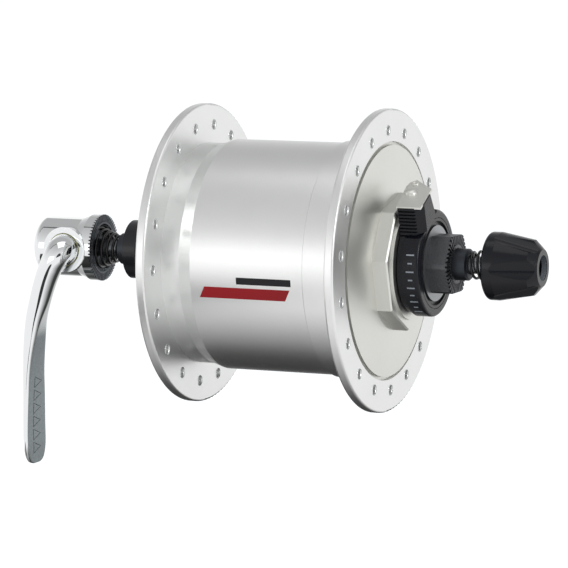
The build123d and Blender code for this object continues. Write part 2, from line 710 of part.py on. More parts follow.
# Cam housing with its toothed ring, its window for the rod's eye and the cam's bore
with BuildPart() as cam_housing:
    turned(
        [
            (0, HOUSING_FACE),
            (TOOTH_RING_D / 2, HOUSING_FACE),
            (TOOTH_RING_D / 2, HOUSING_FACE + TOOTH_RING_LENGTH),
            (HOUSING_D / 2, HOUSING_FACE + TOOTH_RING_LENGTH + TOOTH_RING_FLARE),
            (HOUSING_D / 2, HOUSING_END),
            (0, HOUSING_END),
        ]
    )
    end_rim = cam_housing.edges().filter_by(GeomType.CIRCLE).sort_by(Axis.Y)[-1]
    fillet(end_rim, HOUSING_FILLET)
    with BuildSketch(Plane.YZ):
        with Locations((PIVOT_PLACE, 0)):
            Circle(CAM_BOSS_D / 2)
    extrude(amount=-CAM_BOSS_END)
    with BuildSketch(Plane.XY.offset(HOUSING_FLAT)):
        with Locations((0, (HOUSING_FACE + TOOTH_RING_LENGTH + TOOTH_RING_FLARE + HOUSING_END) / 2)):
            Rectangle(HOUSING_D, HOUSING_END - HOUSING_FACE - TOOTH_RING_LENGTH - TOOTH_RING_FLARE)
    extrude(amount=HOUSING_D, mode=Mode.SUBTRACT)
    tube(SPRING_SEAT_D, 0, HOUSING_FACE - OVERRUN, spring_seat, Mode.SUBTRACT)
    tube(ROD_D + 2 * BODY_GAP, 0, HOUSING_FACE, PIVOT_PLACE, Mode.SUBTRACT)
    with BuildSketch(Plane.YZ.offset(-CAM_WINDOW / 2)):
        with Locations((PIVOT_PLACE, 0)):
            eye_height = eye_half_z + EYE_WALL + BODY_GAP
            Rectangle(2 * (eye_half_y + EYE_WALL + CAM_THROW + BODY_GAP), 2 * eye_height)
    extrude(amount=CAM_WINDOW, mode=Mode.SUBTRACT)
    with BuildSketch(Plane.YZ):
        with Locations((PIVOT_PLACE, 0)):
            Circle(CAM_SHAFT_D / 2 + RUNNING_GAP)
    extrude(amount=-CAM_BOSS_END - OVERRUN, mode=Mode.SUBTRACT)
    with BuildSketch(Plane.YZ):
        with Locations((PIVOT_PLACE, 0)):
            Circle(CAM_TAIL_D / 2 + RUNNING_GAP)
    extrude(amount=CAM_TAIL_END + BODY_GAP, mode=Mode.SUBTRACT)
    with BuildSketch(Plane.YZ.offset(-CAM_BOSS_END)):
        with Locations((PIVOT_PLACE, 0)):
            Circle(BUSH_D / 2)
    extrude(amount=BUSH_LENGTH, mode=Mode.SUBTRACT)
    with BuildSketch(across(HOUSING_FACE + TOOTH_DEPTH)):
        tooth_length = (TOOTH_RING_D - TOOTH_RING_INNER_D) / 2 + OVERRUN
        with PolarLocations((TOOTH_RING_INNER_D + tooth_length) / 2, HOUSING_TEETH):
            Rectangle(tooth_length, TOOTH_WIDTH)
    extrude(amount=TOOTH_DEPTH + OVERRUN, mode=Mode.SUBTRACT)
cam_housing.part.label = "cam_housing"
export_step(cam_housing.part, "parts/cam_housing.step")

# Plastic bush that lines the cam's bore
with BuildPart() as cam_bush:
    with BuildSketch(Plane.YZ.offset(-CAM_BOSS_END)):
        with Locations((PIVOT_PLACE, 0)):
            Circle(BUSH_D / 2 - RUNNING_GAP)
            Circle(CAM_SHAFT_D / 2 + RUNNING_GAP, mode=Mode.SUBTRACT)
    extrude(amount=BUSH_LENGTH)
cam_bush.part.label = "cam_bush"
export_step(cam_bush.part, "parts/cam_bush.step")

# Cam lever: shaft, cam and tail in the housing, then the head and the curved arm outside
# Each station of the arm holds shares of the drop, lean, offset, width, back rise and front rise.
ARM_STATION_SHARES = [
    (0.000, 0.000, 0.00, 0.52, 0.79, 1.00),
    (0.083, 0.286, 0.00, 0.55, 0.84, 1.00),
    (0.238, 0.670, 0.25, 0.48, 0.74, 0.62),
    (0.394, 0.854, 0.55, 0.66, 1.00, 0.12),
    (0.566, 0.961, 0.85, 0.83, 0.85, 0.03),
    (0.717, 1.000, 1.00, 0.95, 0.73, 0.02),
    (0.900, 0.966, 1.00, 1.00, 0.65, 0.02),
    (0.960, 0.975, 1.00, 0.80, 0.58, 0.02),
    (1.000, 0.980, 1.00, 0.30, 0.30, 0.02),
]


def arm_point(drop_share, lean_share, offset_share):
    """The middle of the arm's section there."""
    head_middle = (HEAD_START + HEAD_END) / 2
    x = -head_middle + (head_middle - BLADE_OFFSET) * offset_share
    return Vector(x, PIVOT_PLACE + ARM_LEAN * lean_share, -ARM_DROP * drop_share)


arm_points = [arm_point(*station[:3]) for station in ARM_STATION_SHARES]

with BuildPart() as cam_lever:
    with BuildSketch(Plane.YZ.offset(-HEAD_START)):
        with Locations((PIVOT_PLACE, 0)):
            Circle(CAM_SHAFT_D / 2)
    extrude(amount=HEAD_START - CAM_WINDOW / 2)
    with BuildSketch(Plane.YZ.offset(-CAM_WINDOW / 2)):
        with Locations((PIVOT_PLACE + CAM_THROW, 0)):
            Circle(CAM_D / 2)
    extrude(amount=CAM_WINDOW)
    with BuildSketch(Plane.YZ.offset(CAM_WINDOW / 2)):
        with Locations((PIVOT_PLACE, 0)):
            Circle(CAM_TAIL_D / 2)
    extrude(amount=CAM_TAIL_END - CAM_WINDOW / 2)
    with BuildSketch(Plane.YZ.offset(-HEAD_START)):
        with Locations((PIVOT_PLACE, 0)):
            Circle(HEAD_D / 2)
    extrude(amount=-(HEAD_END - HEAD_START))
    head_rim = cam_lever.edges().filter_by(GeomType.CIRCLE).sort_by(Axis.X)[0]
    fillet(head_rim, HEAD_ROUNDING)
    for number, station in enumerate(ARM_STATION_SHARES):
        half_width = ARM_WIDTH * station[3] / 2
        back_rise = ARM_BACK_RISE * station[4]
        front_rise = ARM_FRONT_RISE * station[5]
        before = arm_points[max(number - 1, 0)]
        after = arm_points[min(number + 1, len(arm_points) - 1)]
        along = after - before
        with BuildSketch(Plane(origin=arm_points[number], x_dir=(1, 0, 0), z_dir=(0, along.Y, along.Z))):
            with BuildLine():
                ThreePointArc((half_width, 0), (0, front_rise), (-half_width, 0))
                ThreePointArc((-half_width, 0), (0, -back_rise), (half_width, 0))
            make_face()
    loft()
cam_lever.part.label = "cam_lever"
export_step(cam_lever.part, "parts/cam_lever.step")


def helix_point(turn, start_r, end_r, turns, start, end):
    """A point on a conical coil after so many turns."""
    share = turn / turns
    radius = start_r + (end_r - start_r) * share
    angle = math.tau * turn
    return Vector(radius * math.cos(angle), start + (end - start) * share, radius * math.sin(angle))


def helix_tangent(turn, *coil):
    """The direction of the coil at that turn."""
    step = COIL_TEST_STEP
    return (helix_point(turn + step, *coil) - helix_point(turn - step, *coil)).normalized()


def coil_path(*coil):
    """Quarter turns, each of two arcs that meet without a corner, with a straight end at both sides."""
    turns = coil[2]
    quarters = round(turns * 4)
    first = helix_point(0, *coil)
    Line(first - helix_tangent(0, *coil) * WIRE_D, first)
    for quarter in range(quarters):
        here = helix_point(quarter / 4, *coil)
        there = helix_point((quarter + 1) / 4, *coil)
        leave = helix_tangent(quarter / 4, *coil)
        arrive = helix_tangent((quarter + 1) / 4, *coil)
        chord = there - here
        both = leave + arrive
        spread = 2 * (1 - leave.dot(arrive))
        reach = (math.sqrt(chord.dot(both) ** 2 + spread * chord.dot(chord)) - chord.dot(both)) / spread
        meet = (here + there + (leave - arrive) * reach) / 2
        middle = ((there - arrive * reach) - (here + leave * reach)).normalized()
        TangentArc(here, meet, tangent=leave)
        TangentArc(meet, there, tangent=middle)
    last = helix_point(turns, *coil)
    Line(last, last + helix_tangent(turns, *coil) * WIRE_D)


def coil_gap(path):
    """The least gap between one turn of the wire and the next."""
    count = COIL_TEST_POINTS
    points = [path @ (number / count) for number in range(count + 1)]
    step = path.length / count
    least = path.length
    for number, point in enumerate(points):
        for other in range(number + 1, len(points)):
            if (other - number) * step > 4 * WIRE_D:
                least = min(least, (point - points[other]).length - WIRE_D)
    return least


# The two conical springs that push the quick release off the hub
spring_rows = [
    (
        "lever_side_spring",
        (
            LEVER_SPRING_START_R,
            LEVER_SPRING_END_R,
            LEVER_SPRING_TURNS,
            stub_end + WIRE_D / 2 + SPRING_FACE_GAP,
            spring_seat - WIRE_D / 2 - SPRING_FACE_GAP,
        ),
    ),
    (
        "nut_side_spring",
        (
            NUT_SPRING_START_R,
            NUT_SPRING_END_R,
            NUT_SPRING_TURNS,
            -stub_end - WIRE_D / 2 - SPRING_FACE_GAP,
            -knob_seat + WIRE_D / 2 + SPRING_FACE_GAP,
        ),
    ),
]
for spring_name, coil in spring_rows:
    with BuildPart() as spring:
        with BuildLine() as spring_path:
            coil_path(*coil)
        with BuildSketch(Plane(origin=spring_path.line @ 0, z_dir=spring_path.line % 0)):
            Circle(WIRE_D / 2)
        sweep(path=spring_path.line)
    spring.part.label = spring_name
    export_step(spring.part, f"parts/{spring_name}.step")
    print(spring_name, "least gap between turns", round(coil_gap(spring_path.wire()), 2))

# Adjusting knob and the threaded insert inside it
with BuildPart() as adjusting_knob:
    turned(
        [
            (0, -KNOB_FACE),
            (KNOB_D / 2, -KNOB_FACE),
            (KNOB_D / 2, -KNOB_FACE - KNOB_COLLAR),
            (KNOB_SMALL_D / 2, -KNOB_SHOULDER),
            (KNOB_END_D / 2, -KNOB_END),
            (0, -KNOB_END),
        ]
    )
    fillet(adjusting_knob.edges().filter_by(GeomType.CIRCLE).sort_by(Axis.Y)[-1], KNOB_FILLET)
    for flute in range(KNOB_FLUTES):
        angle = math.tau * flute / KNOB_FLUTES
        direction = Vector(math.cos(angle), 0, math.sin(angle))
        top = direction * FLUTE_CENTRE_START - Vector(0, KNOB_FACE + KNOB_COLLAR, 0)
        bottom = direction * FLUTE_CENTRE_END - Vector(0, KNOB_END + OVERRUN, 0)
        with BuildSketch(Plane(origin=top, z_dir=bottom - top)):
            Circle(FLUTE_D / 2)
        extrude(amount=(bottom - top).length, mode=Mode.SUBTRACT)
    tube(KNOB_SEAT_D, 0, OVERRUN - KNOB_FACE, -knob_seat, Mode.SUBTRACT)
    tube(KNOB_HOLE_D, 0, -KNOB_FACE, -KNOB_END - OVERRUN, Mode.SUBTRACT)
    with BuildSketch(across(-knob_seat)):
        RegularPolygon(INSERT_D / 2 + RUNNING_GAP, INSERT_SIDES)
    extrude(amount=INSERT_LENGTH, mode=Mode.SUBTRACT)
adjusting_knob.part.label = "adjusting_knob"
export_step(adjusting_knob.part, "parts/adjusting_knob.step")

with BuildPart() as knob_insert:
    with BuildSketch(across(-knob_seat)):
        RegularPolygon(INSERT_D / 2, INSERT_SIDES)
        Circle(ROD_D / 2 + RUNNING_GAP, mode=Mode.SUBTRACT)
    extrude(amount=INSERT_LENGTH)
knob_insert.part.label = "knob_insert"
export_step(knob_insert.part, "parts/knob_insert.step")
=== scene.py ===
import bpy
import bmesh
import json
import math
from mathutils import Matrix, Vector


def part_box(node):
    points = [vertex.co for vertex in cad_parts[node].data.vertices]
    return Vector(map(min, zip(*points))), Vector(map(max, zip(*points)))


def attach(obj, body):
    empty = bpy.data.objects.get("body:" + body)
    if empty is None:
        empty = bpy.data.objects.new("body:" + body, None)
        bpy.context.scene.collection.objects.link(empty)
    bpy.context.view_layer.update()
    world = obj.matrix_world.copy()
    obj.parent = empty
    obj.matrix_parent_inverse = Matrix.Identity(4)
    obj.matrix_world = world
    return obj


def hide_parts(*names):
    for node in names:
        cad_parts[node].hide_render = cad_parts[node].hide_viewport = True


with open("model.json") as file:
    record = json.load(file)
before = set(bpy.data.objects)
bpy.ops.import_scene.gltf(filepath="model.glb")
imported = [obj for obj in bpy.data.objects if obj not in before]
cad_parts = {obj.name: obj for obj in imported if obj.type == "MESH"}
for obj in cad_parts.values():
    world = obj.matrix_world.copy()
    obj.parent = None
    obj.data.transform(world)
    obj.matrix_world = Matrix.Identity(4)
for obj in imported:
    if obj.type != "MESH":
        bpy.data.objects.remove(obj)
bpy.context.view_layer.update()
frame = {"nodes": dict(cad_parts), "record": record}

MM = 0.001
# Vertices closer than this become one.
MERGE = 0.002 * MM


def linear(hex_text):
    """Turns an sRGB hex colour into the linear colour that a shader socket takes."""
    values = []
    for place in (0, 2, 4):
        level = int(hex_text[place:place + 2], 16) / 255
        values.append(level / 12.92 if level <= 0.04045 else ((level + 0.055) / 1.055) ** 2.4)
    return (*values, 1.0)


def add_node(tree, kind, inputs=None, **settings):
    """Adds a node with its settings, and sets or links each named input."""
    node = tree.nodes.new(kind)
    for name, value in settings.items():
        setattr(node, name, value)
    for name, value in (inputs or {}).items():
        if isinstance(value, bpy.types.NodeSocket):
            tree.links.new(value, node.inputs[name])
        else:
            node.inputs[name].default_value = value
    return node


# ---------------------------------------------------------------- camera

scene = bpy.context.scene
scene.view_settings.view_transform = "Standard"

# The camera that was fitted to the photo: its place in millimetres, and the turn and rise of the side
# that it looks from.
CAMERA_PLACE = (-910.902, -380.930, 110.678)
AZIMUTH, ELEVATION = math.radians(292.84), math.radians(6.85)

camera_data = bpy.data.cameras.new("photo_camera")
camera_data.sensor_width = 36.0
camera_data.lens = 220.54
camera_data.clip_start, camera_data.clip_end = 0.01, 50
camera = bpy.data.objects.new("photo_camera", camera_data)
scene.collection.objects.link(camera)
scene.camera = camera
back = Vector((
    math.sin(AZIMUTH) * math.cos(ELEVATION),
    -math.cos(AZIMUTH) * math.cos(ELEVATION),
    math.sin(ELEVATION),
))
right = Vector((0, 0, 1)).cross(back).normalized()
up = back.cross(right)
eye = Vector(CAMERA_PLACE) * MM
camera.matrix_world = Matrix((
    (right.x, up.x, back.x, eye.x),
    (right.y, up.y, back.y, eye.y),
    (right.z, up.z, back.z, eye.z),
    (0, 0, 0, 1),
))


# ---------------------------------------------------------------- lamps

def area_light(name, spot, wide, high, power):
    """Adds a soft box at spot that faces the hub, in metres and watts."""
    data = bpy.data.lights.new(name, "AREA")
    data.shape = "RECTANGLE"
    data.size, data.size_y = wide, high
    data.energy = power
    lamp = bpy.data.objects.new(name, data)
    scene.collection.objects.link(lamp)
    lamp.location = spot
    lamp.rotation_euler = (-Vector(spot)).to_track_quat("-Z", "Y").to_euler()


area_light("left_softbox", (-1.05, 0.54, 0.09), 0.8, 0.4, 0.7)
area_light("top_softbox", (-0.15, -0.10, 1.10), 0.9, 0.9, 2.2)
area_light("wire_side_softbox", (-0.45, -1.05, 0.40), 0.35, 0.35, 2.8)


# ---------------------------------------------------------------- room

# Level directions from the hub: towards the camera, and towards the unlit part of the room.
CAMERA_SIDE = (-0.922, -0.388, 0.0)
UNLIT_SIDE = (-0.841, -0.542, 0.0)
# On a unit sphere about the hub, the seam between the room's front and back lies this far behind the
# hub, and shows only above this height.
SEAM_BEHIND = 0.02
SEAM_ABOVE = 0.6

world = bpy.data.worlds.new("white_studio")
scene.world = world
world.use_nodes = True
world_tree = world.node_tree
world_tree.nodes.clear()
ray = add_node(world_tree, "ShaderNodeLightPath")
seen = add_node(world_tree, "ShaderNodeMath", {
    0: ray.outputs["Is Camera Ray"], 1: ray.outputs["Is Transmission Ray"]}, operation="MAXIMUM")
soft = add_node(world_tree, "ShaderNodeBackground", {"Color": linear("E4E7EA"), "Strength": 0.60})

# What metal mirrors: a room that is white at eye level and grey overhead, with a thin dark seam
# overhead between its front and back, and a dark round part beside the camera.
toward = add_node(world_tree, "ShaderNodeTexCoord").outputs["Generated"]
rise = add_node(world_tree, "ShaderNodeSeparateXYZ", {0: toward}).outputs["Z"]
ahead = add_node(world_tree, "ShaderNodeVectorMath", {
    0: toward, 1: CAMERA_SIDE}, operation="DOT_PRODUCT").outputs["Value"]
level_ahead = add_node(world_tree, "ShaderNodeMapRange", {
    "Value": rise, "To Min": 1.0, "To Max": 0.48})
level_behind = add_node(world_tree, "ShaderNodeMapRange", {
    "Value": rise, "From Min": 0.15, "From Max": 0.60, "To Min": 1.0, "To Max": 0.48})
behind = add_node(world_tree, "ShaderNodeMapRange", {
    "Value": ahead, "From Min": -0.10, "From Max": -0.02, "To Min": 1.0, "To Max": 0.0})
room_level = add_node(world_tree, "ShaderNodeMix", {
    "Factor": behind.outputs[0], "A": level_ahead.outputs[0], "B": level_behind.outputs[0]})
seam_off = add_node(world_tree, "ShaderNodeMath", {0: ahead, 1: SEAM_BEHIND}, operation="ADD")
seam_far = add_node(world_tree, "ShaderNodeMath", {0: seam_off.outputs[0]}, operation="ABSOLUTE")
seam = add_node(world_tree, "ShaderNodeMapRange", {
    "Value": seam_far.outputs[0], "From Min": 0.02, "From Max": 0.05, "To Min": 0.8, "To Max": 0.0})
seam_high = add_node(world_tree, "ShaderNodeMath", {0: rise, 1: SEAM_ABOVE}, operation="GREATER_THAN")
seam_dark = add_node(world_tree, "ShaderNodeMath", {
    0: seam.outputs[0], 1: seam_high.outputs[0]}, operation="MULTIPLY")
facing_unlit = add_node(world_tree, "ShaderNodeVectorMath", {
    0: toward, 1: UNLIT_SIDE}, operation="DOT_PRODUCT").outputs["Value"]
unlit = add_node(world_tree, "ShaderNodeMapRange", {
    "Value": facing_unlit, "From Min": 0.93, "From Max": 0.96, "To Min": 0.0, "To Max": 0.94})
dark = add_node(world_tree, "ShaderNodeMath", {
    0: unlit.outputs[0], 1: seam_dark.outputs[0]}, operation="MAXIMUM")
room = add_node(world_tree, "ShaderNodeMix", {
    "Factor": dark.outputs[0], "A": linear("FFFFFF"), "B": linear("1B1E26")}, data_type="RGBA")
mirrored = add_node(world_tree, "ShaderNodeBackground", {
    "Color": room.outputs["Result"], "Strength": room_level.outputs["Result"]})
white = add_node(world_tree, "ShaderNodeBackground", {"Color": linear("FFFFFF"), "Strength": 1.0})
glossy = add_node(world_tree, "ShaderNodeMixShader", {
    "Fac": ray.outputs["Is Glossy Ray"], 1: soft.outputs[0], 2: mirrored.outputs[0]})
sky = add_node(world_tree, "ShaderNodeMixShader", {
    "Fac": seen.outputs[0], 1: glossy.outputs[0], 2: white.outputs[0]})
add_node(world_tree, "ShaderNodeOutputWorld", {"Surface": sky.outputs[0]})


# ---------------------------------------------------------------- floor

# The floor's height and its reach each way, in metres.
FLOOR_Z, FLOOR_HALF = -0.105, 6

floor_mesh = bpy.data.meshes.new("studio_floor")
floor_mesh.from_pydata(
    [(x * FLOOR_HALF, y * FLOOR_HALF, FLOOR_Z) for x, y in ((-1, -1), (1, -1), (1, 1), (-1, 1))],
    [], [(0, 1, 2, 3)])
studio_floor = bpy.data.objects.new("studio_floor", floor_mesh)
scene.collection.objects.link(studio_floor)
# White paper: the camera also sees a glow on it, so that it is as white as the background and still
# keeps the hub's shadow.
paper = bpy.data.materials.new("white_paper_floor")
paper.use_nodes = True
paper_tree = paper.node_tree
paper_tree.nodes.clear()
paper_ray = add_node(paper_tree, "ShaderNodeLightPath")
paper_grey = add_node(paper_tree, "ShaderNodeBsdfDiffuse", {"Color": linear("A2A8AE")})
paper_glow = add_node(paper_tree, "ShaderNodeEmission", {"Color": linear("FFFFFF"), "Strength": 0.86})
# Metal sees the white floor too, but greyer under the hub, where the hub keeps the light off, and with
# one dark patch in front of the lever.
paper_spot = add_node(paper_tree, "ShaderNodeTexCoord")
under_hub = add_node(paper_tree, "ShaderNodeMapping", {
    "Vector": paper_spot.outputs["Object"], "Location": (0.06, 0.04, 0.0), "Scale": (0.20, 0.25, 1.0)},
    vector_type="TEXTURE")
shaded = add_node(paper_tree, "ShaderNodeTexGradient", {
    "Vector": under_hub.outputs[0]}, gradient_type="SPHERICAL")
hub_level = add_node(paper_tree, "ShaderNodeMapRange", {
    "Value": shaded.outputs["Fac"], "From Min": 0.09, "From Max": 0.68, "To Min": 0.98, "To Max": 0.05})
by_lever = add_node(paper_tree, "ShaderNodeMapping", {
    "Vector": paper_spot.outputs["Object"], "Location": (-0.150, 0.132, 0.0), "Scale": (0.16, 0.070, 1.0)},
    vector_type="TEXTURE")
patch = add_node(paper_tree, "ShaderNodeTexGradient", {
    "Vector": by_lever.outputs[0]}, gradient_type="SPHERICAL")
patch_level = add_node(paper_tree, "ShaderNodeMapRange", {
    "Value": patch.outputs["Fac"], "From Min": 0.10, "From Max": 0.30, "To Min": 1.0, "To Max": 0.04})
paper_level = add_node(paper_tree, "ShaderNodeMath", {
    0: hub_level.outputs[0], 1: patch_level.outputs[0]}, operation="MULTIPLY")
paper_mirror = add_node(paper_tree, "ShaderNodeEmission", {
    "Color": linear("FFFFFF"), "Strength": paper_level.outputs[0]})
paper_seen = add_node(paper_tree, "ShaderNodeAddShader", {
    0: paper_grey.outputs[0], 1: paper_glow.outputs[0]})
paper_mix = add_node(paper_tree, "ShaderNodeMixShader", {
    "Fac": paper_ray.outputs["Is Camera Ray"], 1: paper_grey.outputs[0], 2: paper_seen.outputs[0]})
paper_all = add_node(paper_tree, "ShaderNodeMixShader", {
    "Fac": paper_ray.outputs["Is Glossy Ray"], 1: paper_mix.outputs[0], 2: paper_mirror.outputs[0]})
add_node(paper_tree, "ShaderNodeOutputMaterial", {"Surface": paper_all.outputs[0]})
floor_mesh.materials.append(paper)


# ---------------------------------------------------------------- materials

# The wave texture has one line in this length over its scale.
WAVE_PERIOD = 0.314
# Size of the soft clouds in which a finish turns from its colour to its shade.
CLOUD_MM = 14
# The grain takes a finish's roughness from this share of it to this.
SMOOTH_SHARE, ROUGH_SHARE = 0.88, 1.12
# What isn't metal shines a little less than the shader's own level.
METAL_SPECULAR, DULL_SPECULAR = 0.5, 0.32
# Chrome plate, also where another finish is mixed into it.
CHROME, CHROME_ROUGHNESS = "EDEFF0", 0.04
# Grain of the ground faces in the chrome.
GROUND_MM = 0.6


def finish(name, colour, metallic, roughness, grain_mm, bump, shade="", coat=0.0, streak_mm=0.0):
    """A finish with grain of a real size in its roughness and bump, and clouds of shade in its colour.

    Where streak_mm is set, lines about the axle stand that far apart in the bump.
    """
    material = bpy.data.materials.new(name)
    material.use_nodes = True
    tree = material.node_tree
    tree.nodes.clear()
    where = add_node(tree, "ShaderNodeTexCoord")
    grain = add_node(tree, "ShaderNodeTexNoise", {
        "Vector": where.outputs["Object"], "Scale": 1 / (grain_mm * MM), "Detail": 4.0, "Roughness": 0.6})
    cloud = add_node(tree, "ShaderNodeTexNoise", {
        "Vector": where.outputs["Object"], "Scale": 1 / (CLOUD_MM * MM), "Detail": 2.0})
    tint = add_node(tree, "ShaderNodeMix", {
        "Factor": cloud.outputs["Fac"], "A": linear(colour), "B": linear(shade or colour)}, data_type="RGBA")
    rough = add_node(tree, "ShaderNodeMapRange", {
        "Value": grain.outputs["Fac"], "From Min": 0.3, "From Max": 0.7,
        "To Min": roughness * SMOOTH_SHARE, "To Max": min(roughness * ROUGH_SHARE, 1.0)})
    height = grain.outputs["Fac"]
    if streak_mm:
        lines = add_node(tree, "ShaderNodeTexWave", {
            "Vector": where.outputs["Object"], "Scale": WAVE_PERIOD / (streak_mm * MM)},
            bands_direction="Y")
        height = add_node(tree, "ShaderNodeMath", {
            0: grain.outputs["Fac"], 1: lines.outputs["Fac"]}, operation="ADD").outputs[0]
    relief = add_node(tree, "ShaderNodeBump", {
        "Height": height, "Strength": bump, "Distance": grain_mm * MM * 0.5})
    surface = add_node(tree, "ShaderNodeBsdfPrincipled", {
        "Base Color": tint.outputs["Result"], "Metallic": metallic, "Roughness": rough.outputs[0],
        "Specular IOR Level": METAL_SPECULAR if metallic else DULL_SPECULAR,
        "Coat Weight": coat, "Coat Roughness": 0.12, "Normal": relief.outputs[0]})
    add_node(tree, "ShaderNodeOutputMaterial", {"Surface": surface.outputs[0]})
    return material


# Satin anodised aluminium: blasted, then anodised, so soft broad highlights and a fine even grain.
satin_anodised_aluminium = finish("satin_anodised_aluminium", "E9EAE9", 1.0, 0.36, 0.35, 0.10, "EFF0EF")
# Satin aluminium of the pressed end cover, a little warmer than the shell.
satin_cover_aluminium = finish("satin_cover_aluminium", "DDDDD8", 1.0, 0.40, 0.35, 0.10, "E3E3DF")
# Bright cut aluminium where the countersink went through the anodised skin.
bright_cut_aluminium = finish("bright_cut_aluminium", "E2E5E6", 1.0, 0.22, 0.30, 0.05)
# Black oxide steel: a dark grey skin with a dull shine.
black_oxide_steel = finish("black_oxide_steel", "3A3D42", 1.0, 0.42, 0.30, 0.20, "46494E")
# Ground bearing steel: bright, with hardly any grain.
ground_bearing_steel = finish("ground_bearing_steel", "B4B7BA", 1.0, 0.18, 0.20, 0.05)
# Phosphated steel of the hexagon nut: coarse dark crystals that glint.
phosphated_steel = finish("phosphated_steel", "505154", 1.0, 0.44, 0.45, 0.80, "6E6F72")
# Black paint on the domed nut: smooth and half glossy.
black_painted_steel = finish("black_painted_steel", "0B0C10", 0.0, 0.38, 0.30, 0.08, "1B1C22", coat=0.3)
# Zinc plated washer: pale, brushed by use.
zinc_plated_steel = finish("zinc_plated_steel", "8E9194", 1.0, 0.40, 0.30, 0.45, "A6A9AB")
# Moulded nylon of the connector: near black with a fine spark texture.
moulded_black_nylon = finish("moulded_black_nylon", "0A0C14", 0.0, 0.28, 0.30, 0.20, "10121C")
# Moulded plastic of the adjusting nut: black and glossy.
moulded_black_plastic = finish("moulded_black_plastic", "090B13", 0.0, 0.17, 0.50, 0.05, "0F111B")
# Tinned brass of the two lamp contacts.
tinned_brass = finish("tinned_brass", "B9A56A", 1.0, 0.30, 0.20, 0.10)
# Chrome plate: a mirror with hardly any wave.
chrome_plate = finish("chrome_plate", CHROME, 1.0, CHROME_ROUGHNESS, 1.20, 0.008)
# Plain drawn steel of the skewer rod.
drawn_steel = finish("drawn_steel", "94979B", 1.0, 0.30, 0.25, 0.12)
# Black electrocoat on spring wire.
black_coated_wire = finish("black_coated_wire", "0C0D10", 0.0, 0.33, 0.20, 0.10, coat=0.4)
# Natural nylon bush, yellowish.
natural_nylon = finish("natural_nylon", "C9C68E", 0.0, 0.40, 0.30, 0.08, "BDB97E")
# Black seal rubber: dull and even.
seal_rubber = finish("seal_rubber", "121214", 0.0, 0.68, 0.30, 0.20)
# Bare pressed pole iron.
pressed_pole_iron = finish("pressed_pole_iron", "7D7E80", 1.0, 0.50, 0.40, 0.25)
# Sintered ferrite magnet: charcoal and chalky.
sintered_ferrite = finish("sintered_ferrite", "3A3A3D", 0.0, 0.75, 0.40, 0.30)
# Natural nylon bobbin.
bobbin_nylon = finish("bobbin_nylon", "D8D3C2", 0.0, 0.45, 0.30, 0.10)
# Enamelled copper wire, wound, so rings along the axle show.
enamelled_copper = finish("enamelled_copper", "B4623A", 1.0, 0.28, 0.30, 0.15, streak_mm=0.6)
# Red lead cover of soft plastic.
red_lead_cover = finish("red_lead_cover", "A0201C", 0.0, 0.45, 0.30, 0.10)
# Screen printed ink, black and red.
black_ink = finish("black_ink", "17181B", 0.0, 0.40, 0.25, 0.05)
red_ink = finish("red_ink", "C3272E", 0.0, 0.38, 0.25, 0.05)
# White marking ink on the connector, greyed by use.
pale_ink = finish("pale_ink", "AEB4BC", 0.0, 0.50, 0.25, 0.10)


def chrome_with_face(name, dark_tone, light_tone, roughness, z_from=500, z_to=400):
    """Chrome plate with another finish on the faces towards -Y.

    That finish starts at z_from and is full at z_to and below, both in millimetres. Both are far above
    the part unless they are given, so that all of such a face has it.
    """
    material = chrome_plate.copy()
    material.name = name
    tree = material.node_tree
    surface = next(node for node in tree.nodes if node.type == "BSDF_PRINCIPLED")
    where = add_node(tree, "ShaderNodeTexCoord")
    facing = add_node(tree, "ShaderNodeVectorMath", {
        0: where.outputs["Normal"], 1: (0, -1, 0)}, operation="DOT_PRODUCT")
    flat = add_node(tree, "ShaderNodeMapRange", {
        "Value": facing.outputs["Value"], "From Min": 0.92, "From Max": 0.965})
    split = add_node(tree, "ShaderNodeSeparateXYZ", {0: where.outputs["Object"]})
    below = add_node(tree, "ShaderNodeMapRange", {
        "Value": split.outputs["Z"], "From Min": z_to * MM, "From Max": z_from * MM,
        "To Min": 1.0, "To Max": 0.0})
    mask = add_node(tree, "ShaderNodeMath", {0: flat.outputs[0], 1: below.outputs[0]}, operation="MULTIPLY")
    brushed = add_node(tree, "ShaderNodeTexNoise", {
        "Vector": where.outputs["Object"], "Scale": 1 / (GROUND_MM * MM), "Detail": 5.0})
    ground = add_node(tree, "ShaderNodeMix", {
        "Factor": brushed.outputs["Fac"], "A": linear(dark_tone), "B": linear(light_tone)},
        data_type="RGBA")
    colour = add_node(tree, "ShaderNodeMix", {
        "Factor": mask.outputs[0], "A": linear(CHROME), "B": ground.outputs["Result"]}, data_type="RGBA")
    rough = add_node(tree, "ShaderNodeMapRange", {
        "Value": mask.outputs[0], "To Min": CHROME_ROUGHNESS, "To Max": roughness})
    tree.links.new(colour.outputs["Result"], surface.inputs["Base Color"])
    tree.links.new(rough.outputs[0], surface.inputs["Roughness"])
    return material


# The cam lever: mirror chrome with a satin ground face that carries the marks.
chrome_with_satin_face = chrome_with_face("chrome_with_satin_face", "7A8386", "A9B1B3", 0.42, -18, -26)
# The cam housing: mirror chrome with a dark face where its teeth bite the fork.
chrome_with_toothed_face = chrome_with_face("chrome_with_toothed_face", "2B2E33", "74787E", 0.40)
# The bottom of an engraved line: matt and shaded.
engraved_line = finish("engraved_line", "5C6466", 1.0, 0.55, 0.25, 0.15)
# The worn edge of the adjusting nut's end, greyed by fingers and road grit.
worn_plastic_edge = finish("worn_plastic_edge", "7C8188", 0.0, 0.42, 0.35, 0.20, "8E9399")

